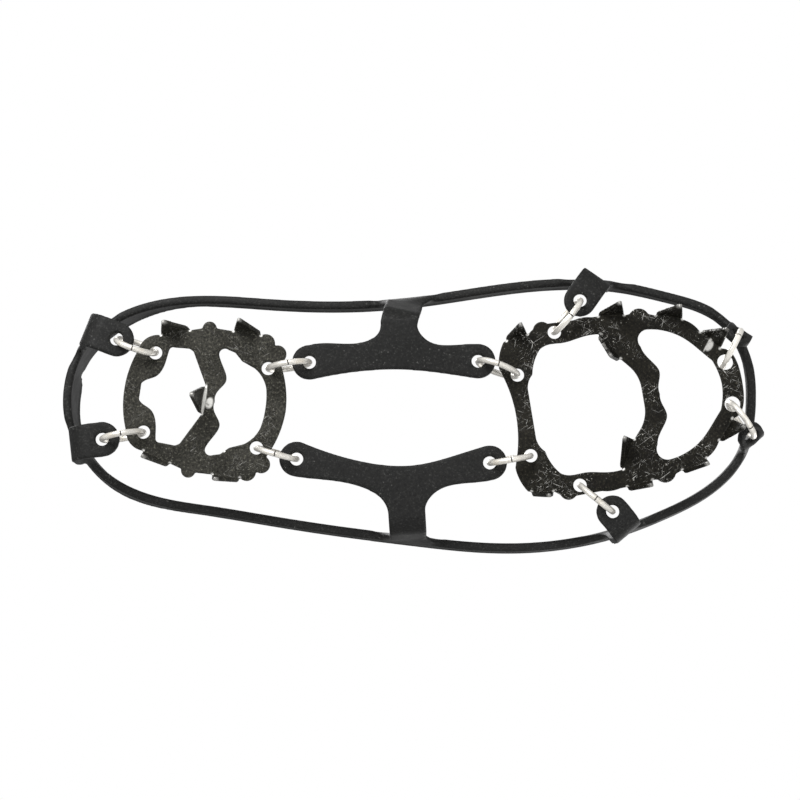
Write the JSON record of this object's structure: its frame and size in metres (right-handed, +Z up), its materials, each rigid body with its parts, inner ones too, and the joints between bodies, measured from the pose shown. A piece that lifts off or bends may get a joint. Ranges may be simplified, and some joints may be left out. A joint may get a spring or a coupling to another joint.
{
  "type": "shoe ice cleats",
  "caption": "Ice cleats for a shoe: a rubber stretch harness holds toothed steel plates under the heel and forefoot through wire rings.",
  "frame": {"origin": "on the ground under the middle of the cleat's plan box, at the level of the tooth points", "axes": "+X to the toe, +Y to the outer side of a left foot, +Z up to the shoe"},
  "size_m": [0.3092, 0.1252, 0.077],
  "materials": {
    "harness_rubber": "matt moulded, fine grain",
    "heel_steel": "hardened, gritty, worn bright at the edges",
    "forefoot_steel": "hardened, gritty, scratched",
    "ring_steel": "bright zinc plating"
  },
  "bodies": {
    "harness_rear": {"harness_heel_rim": "harness_rubber", "harness_heel_strap_inner": "harness_rubber", "harness_heel_strap_outer": "harness_rubber", "harness_rear_arm_inner": "harness_rubber", "harness_rear_arm_outer": "harness_rubber"},
    "harness_front": {"harness_front_rim": "harness_rubber", "harness_arch_arm_inner": "harness_rubber", "harness_arch_arm_outer": "harness_rubber", "harness_side_strap_inner": "harness_rubber", "harness_side_strap_outer": "harness_rubber", "harness_toe_strap_inner": "harness_rubber", "harness_toe_strap_outer": "harness_rubber"},
    "heel_plate": {"heel_plate": "heel_steel"},
    "forefoot_plate": {"forefoot_plate": "forefoot_steel"},
    "ring_heel_rear_inner": {"ring_heel_rear_inner": "ring_steel"},
    "ring_heel_rear_outer": {"ring_heel_rear_outer": "ring_steel"},
    "ring_heel_front_inner": {"ring_heel_front_inner": "ring_steel"},
    "ring_heel_front_outer": {"ring_heel_front_outer": "ring_steel"},
    "ring_fore_rear_inner": {"ring_fore_rear_inner": "ring_steel"},
    "ring_fore_rear_outer": {"ring_fore_rear_outer": "ring_steel"},
    "ring_fore_side_inner": {"ring_fore_side_inner": "ring_steel"},
    "ring_fore_side_outer": {"ring_fore_side_outer": "ring_steel"},
    "ring_toe_inner": {"ring_toe_inner": "ring_steel"},
    "ring_toe_outer": {"ring_toe_outer": "ring_steel"}
  },
  "joints": [
    {"name": "arch_flex", "type": "hinge", "parent": "harness_rear", "child": "harness_front", "pos_m": [-0.01795, 0.00293, 0.052], "axis": [0, -1, 0], "range_deg": [0, 15], "stiffness_Nm_per_rad": 0.6},
    {"name": "heel_plate_drop", "type": "slide", "parent": "harness_rear", "child": "heel_plate", "axis": [0, 0, -1], "range_m": [0, 0.0015], "stiffness_N_per_m": 900},
    {"name": "forefoot_plate_drop", "type": "hinge", "parent": "harness_front", "child": "forefoot_plate", "pos_m": [0.13718, -0.00788, 0.01455], "axis": [-0.1564, -0.9877, 0], "range_deg": [0, 1.2], "stiffness_Nm_per_rad": 4},
    {"name": "ring_heel_rear_inner_rock", "type": "hinge", "parent": "harness_rear", "child": "ring_heel_rear_inner", "pos_m": [-0.11975, -0.02414, 0.01455], "axis": [-0.9426, -0.3338, 0], "range_deg": [-2, 34]},
    {"name": "ring_heel_rear_outer_rock", "type": "hinge", "parent": "harness_rear", "child": "ring_heel_rear_outer", "pos_m": [-0.125, 0.01509, 0.01455], "axis": [-0.9848, 0.1736, 0], "range_deg": [-18, 18]},
    {"name": "ring_heel_front_inner_rock", "type": "hinge", "parent": "harness_rear", "child": "ring_heel_front_inner", "pos_m": [-0.05345, -0.01561, 0.01455], "axis": [0.9888, -0.1495, 0], "range_deg": [-18, 18]},
    {"name": "ring_heel_front_outer_rock", "type": "hinge", "parent": "harness_rear", "child": "ring_heel_front_outer", "pos_m": [-0.05855, 0.02282, 0.01455], "axis": [0.9632, 0.2689, 0], "range_deg": [-26, 10]},
    {"name": "ring_fore_rear_inner_rock", "type": "hinge", "parent": "harness_front", "child": "ring_fore_rear_inner", "pos_m": [0.03713, -0.01443, 0.01455], "axis": [-0.9415, -0.3371, 0], "range_deg": [-22, 14]},
    {"name": "ring_fore_rear_outer_rock", "type": "hinge", "parent": "harness_front", "child": "ring_fore_rear_outer", "pos_m": [0.04231, 0.02533, 0.01455], "axis": [-0.9848, 0.1736, 0], "range_deg": [-10, 26]},
    {"name": "ring_fore_side_inner_rock", "type": "hinge", "parent": "harness_front", "child": "ring_fore_side_inner", "pos_m": [0.06741, -0.03717, 0.01455], "axis": [0.6266, -0.7793, 0], "range_deg": [-28, 8]},
    {"name": "ring_fore_side_outer_rock", "type": "hinge", "parent": "harness_front", "child": "ring_fore_side_outer", "pos_m": [0.07932, 0.0423, 0.01455], "axis": [0.7749, 0.632, 0], "range_deg": [-26, 10]},
    {"name": "ring_toe_inner_rock", "type": "hinge", "parent": "harness_front", "child": "ring_toe_inner", "pos_m": [0.13914, -0.02359, 0.01971], "axis": [0.3795, -0.7259, 0.5736], "range_deg": [-10, 10]},
    {"name": "ring_toe_outer_rock", "type": "hinge", "parent": "harness_front", "child": "ring_toe_outer", "pos_m": [0.14294, 0.0073, 0.01971], "axis": [0.478, 0.6652, 0.5736], "range_deg": [-10, 6]}
  ]
}
